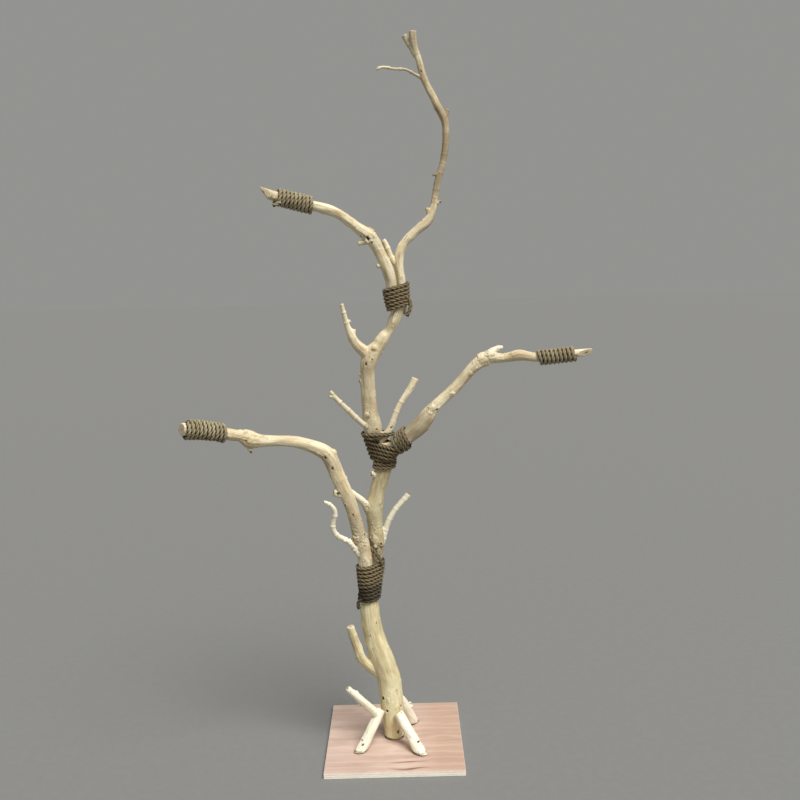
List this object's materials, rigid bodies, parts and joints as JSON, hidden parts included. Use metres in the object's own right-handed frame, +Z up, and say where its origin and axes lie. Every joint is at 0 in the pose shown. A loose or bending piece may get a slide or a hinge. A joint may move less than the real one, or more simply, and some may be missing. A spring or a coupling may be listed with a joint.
{
  "type": "cat climbing tree",
  "caption": "Climbing tree for cats made of peeled natural branches, screwed and rope-bound into a trunk with spreading arms, on a square plywood board.",
  "frame": {"origin": "centre of the square board's underside, on the floor", "axes": "+Z up along the trunk, -Y the front, +X towards the right arm"},
  "size_m": [1.1216, 0.4, 2.054],
  "materials": {
    "plywood": "satin",
    "trunk_wood": "satin",
    "brace_wood": "satin",
    "crown_wood": "satin",
    "dowel_wood": "matt",
    "hemp_rope": "matt",
    "screw_steel": "dark"
  },
  "bodies": {
    "root": {"base_board": "plywood", "lower_trunk": "trunk_wood", "front_left_brace": "brace_wood", "front_right_brace": "brace_wood", "rear_right_brace": "brace_wood", "middle_trunk": "trunk_wood", "left_arm": "trunk_wood", "upper_trunk": "trunk_wood", "right_arm": "trunk_wood", "upper_left_arm": "trunk_wood", "crown_branch": "crown_wood", "lower_rope_wrap": "hemp_rope", "middle_rope_wrap": "hemp_rope", "right_arm_rope_collar": "hemp_rope", "upper_rope_wrap": "hemp_rope", "left_arm_tip_wrap": "hemp_rope", "right_arm_tip_wrap": "hemp_rope", "upper_left_arm_tip_wrap": "hemp_rope", "trunk_base_screws": "screw_steel", "brace_foot_screws": "screw_steel", "brace_head_screws": "screw_steel", "trunk_dowel": "dowel_wood", "lower_joint_screws": "screw_steel", "middle_joint_screws": "screw_steel", "upper_joint_screws": "screw_steel", "spur_screw": "screw_steel", "rope_end_nails": "screw_steel"}
  },
  "joints": []
}
